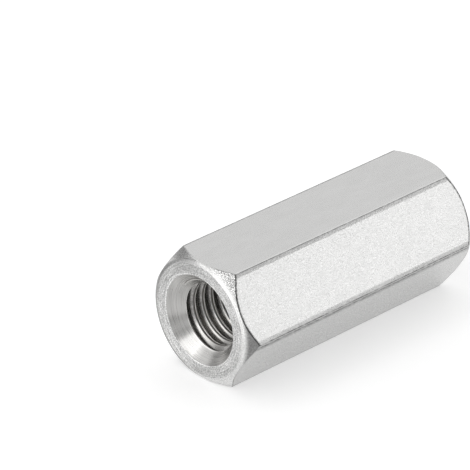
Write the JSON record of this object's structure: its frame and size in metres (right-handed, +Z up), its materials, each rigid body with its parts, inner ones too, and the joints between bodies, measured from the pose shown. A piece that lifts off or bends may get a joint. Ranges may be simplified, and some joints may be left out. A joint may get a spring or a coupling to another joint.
{
  "type": "coupling nut",
  "caption": "Long hexagon nut with a through metric thread, a countersink at each end and turned, chamfered end faces, for joining two threaded rods end to end.",
  "frame": {"origin": "on the thread axis, halfway between the end faces", "axes": "+X along the thread, +Z up through a flat, +Y towards a long corner; the nut lies on the flat at -Z"},
  "size_m": [0.0396, 0.0184, 0.016],
  "materials": {
    "stainless_steel": "satin drawn flats, bright turned ends and thread"
  },
  "bodies": {
    "root": {"coupling_nut": "stainless_steel"}
  },
  "joints": []
}
